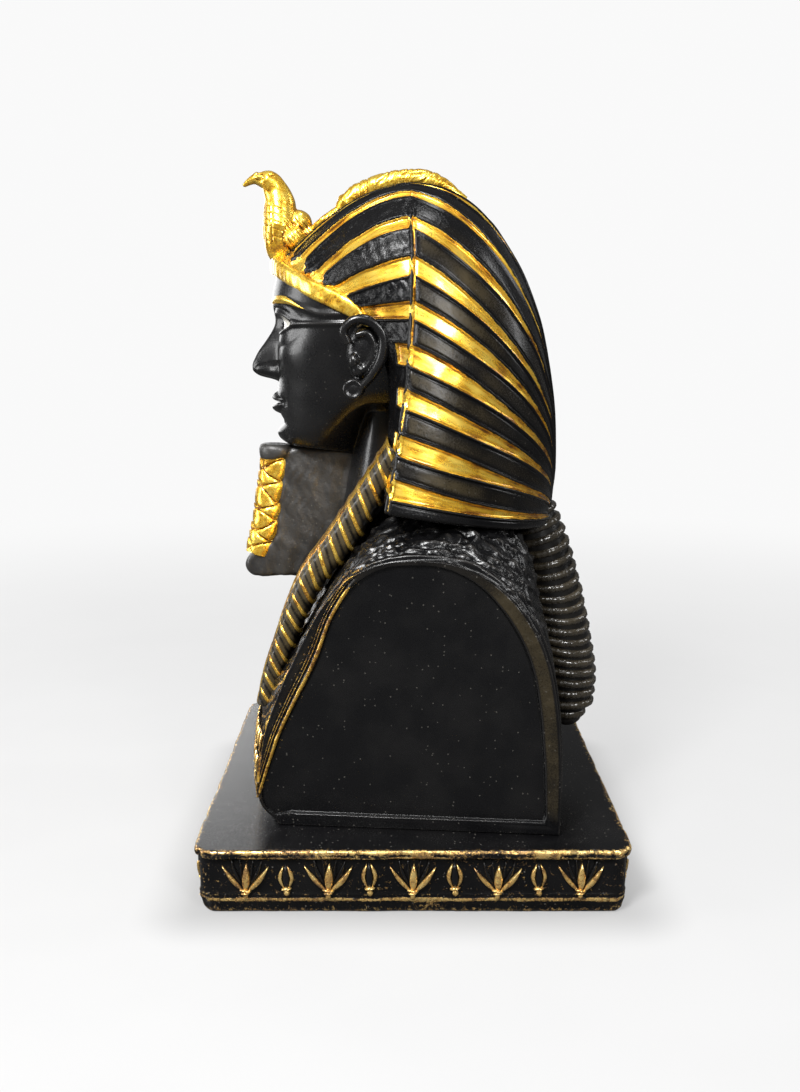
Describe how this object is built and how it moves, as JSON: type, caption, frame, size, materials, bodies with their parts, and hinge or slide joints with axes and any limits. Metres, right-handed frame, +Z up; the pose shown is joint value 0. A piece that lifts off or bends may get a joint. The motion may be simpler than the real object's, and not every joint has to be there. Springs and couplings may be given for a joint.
{
  "type": "pharaoh bust figurine",
  "caption": "Bust of a pharaoh in a striped headcloth with a cobra at the brow, plaited false beard, broad collar and bound tail of hair, on a rectangular plinth with a lotus frieze",
  "frame": {"origin": "middle of the plinth's underside", "axes": "the face looks along -Y, the figure's left side is +X, and Z is up"},
  "size_m": [0.164, 0.147, 0.2499],
  "materials": {
    "bust_resin": "black cast resin, satin to glossy, with hand-painted gold",
    "plinth_resin": "black cast resin, satin, with worn gold paint on its lips and frieze"
  },
  "bodies": {
    "root": {"bust": "bust_resin", "plinth": "plinth_resin"}
  },
  "joints": []
}
